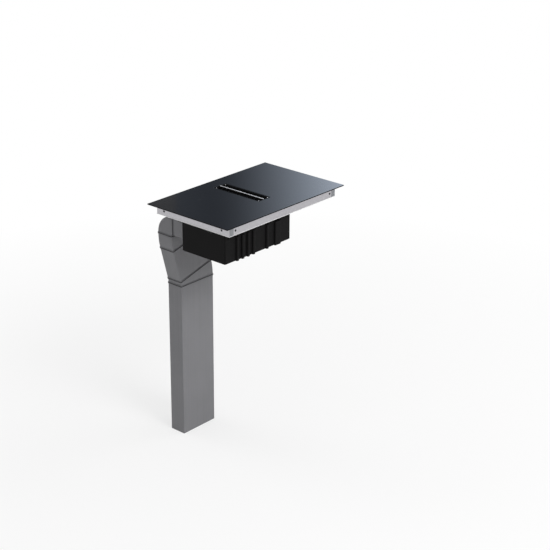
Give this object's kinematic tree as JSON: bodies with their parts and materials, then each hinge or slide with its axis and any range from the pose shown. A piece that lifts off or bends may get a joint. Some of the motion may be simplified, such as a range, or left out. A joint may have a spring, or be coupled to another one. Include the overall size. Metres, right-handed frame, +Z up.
{
  "type": "downdraft vent",
  "caption": "Flat glass induction hob with a downdraft extractor slot, a fan housing hung below it and a flat duct that leads the air down.",
  "frame": {"origin": "the middle of the worktop plane that the glass's edge seal lies on", "axes": "+Z up, out of the worktop; -Y towards the cook; +X to the cook's right"},
  "size_m": [0.83, 0.515, 1.2373],
  "materials": {
    "black_glass": "glossy ceramic glass, black to the edge",
    "seal_rubber": "soft black",
    "tray_steel": "zinc-coated sheet steel",
    "fixing_steel": "plated",
    "black_aluminium": "black anodised",
    "bar_aluminium": "satin, brushed along its length",
    "aluminium": "plain mill finish",
    "filter_steel": "satin stainless",
    "housing_plastic": "fine-grained black",
    "fan_plastic": "moulded dark grey",
    "duct_plastic": "smooth grey",
    "ring_plastic": "darker grey",
    "copper_winding": "enamelled copper strand",
    "board": "green solder mask",
    "electric_plastic": "off-white",
    "motor_steel": "laminated and coated"
  },
  "bodies": {
    "hob": {"bond_bead": "seal_rubber", "coil_carriers": "electric_plastic", "coil_front_left": "copper_winding", "coil_front_right": "copper_winding", "coil_rear_left": "copper_winding", "coil_rear_right": "copper_winding", "control_unit": "fan_plastic", "cooling_fan_frame_front": "fan_plastic", "cooling_fan_frame_rear": "fan_plastic", "cover_screws": "fixing_steel", "duct_bend_lower": "duct_plastic", "duct_bend_upper": "duct_plastic", "duct_drop": "duct_plastic", "duct_elbow": "duct_plastic", "duct_offset": "duct_plastic", "duct_rings": "ring_plastic", "duct_stub": "duct_plastic", "edge_seal": "seal_rubber", "fan_scroll": "fan_plastic", "glass_top": "black_glass", "heat_sink_front": "aluminium", "heat_sink_rear": "aluminium", "housing_cover": "housing_plastic", "housing_tub": "housing_plastic", "inlet_ring": "fan_plastic", "intake_shaft": "black_aluminium", "mains_gland": "fan_plastic", "motor_bearings": "fixing_steel", "motor_bushes": "seal_rubber", "motor_stator": "motor_steel", "outlet_collar": "fan_plastic", "power_board_front": "board", "power_board_rear": "board", "shield_plate_left": "aluminium", "shield_plate_right": "aluminium", "slot_seal": "seal_rubber", "terminal_block": "electric_plastic", "touch_board": "board", "tray": "tray_steel", "tray_floor": "tray_steel", "tray_straps": "tray_steel"},
    "grille": {"intake_grille": "black_aluminium", "centre_bar": "bar_aluminium", "grille_pins": "fixing_steel"},
    "filter": {"filter_frame": "filter_steel", "filter_mesh_left": "filter_steel", "filter_mesh_right": "filter_steel", "filter_cup": "filter_steel", "filter_handle": "filter_steel"},
    "fan": {"fan_impeller": "fan_plastic", "motor_rotor": "motor_steel", "motor_shaft": "fixing_steel"},
    "front_cooling_fan": {"cooling_fan_rotor_front": "fan_plastic"},
    "rear_cooling_fan": {"cooling_fan_rotor_rear": "fan_plastic"},
    "upper_flap": {"flap_upper": "fan_plastic", "flap_pin_upper": "fixing_steel"},
    "lower_flap": {"flap_lower": "fan_plastic", "flap_pin_lower": "fixing_steel"}
  },
  "joints": [
    {"name": "grille_lift", "type": "slide", "parent": "hob", "child": "grille", "axis": [0, 0, 1], "range_m": [0, 0.4]},
    {"name": "filter_lift", "type": "slide", "parent": "hob", "child": "filter", "axis": [0, 0, 1], "range_m": [0, 0.2]},
    {"name": "fan_spin", "type": "hinge", "parent": "hob", "child": "fan", "pos_m": [-0.216, -0.0625, -0.104], "axis": [0, 0, 1], "continuous": true},
    {"name": "front_cooling_fan_spin", "type": "hinge", "parent": "hob", "child": "front_cooling_fan", "pos_m": [0.302, -0.087, -0.047], "axis": [0, 0, 1], "continuous": true},
    {"name": "rear_cooling_fan_spin", "type": "hinge", "parent": "hob", "child": "rear_cooling_fan", "pos_m": [0.302, 0.087, -0.047], "axis": [0, 0, 1], "continuous": true},
    {"name": "upper_flap_swing", "type": "hinge", "parent": "hob", "child": "upper_flap", "pos_m": [-0.244, 0.0945, -0.06525], "axis": [1, 0, 0], "range_deg": [0, 80]},
    {"name": "lower_flap_swing", "type": "hinge", "parent": "hob", "child": "lower_flap", "pos_m": [-0.244, 0.0945, -0.102], "axis": [1, 0, 0], "range_deg": [0, 80]}
  ],
  "couplings": [
    {"joint": "filter_lift", "follows": "grille_lift", "ratio": 0.5}
  ]
}
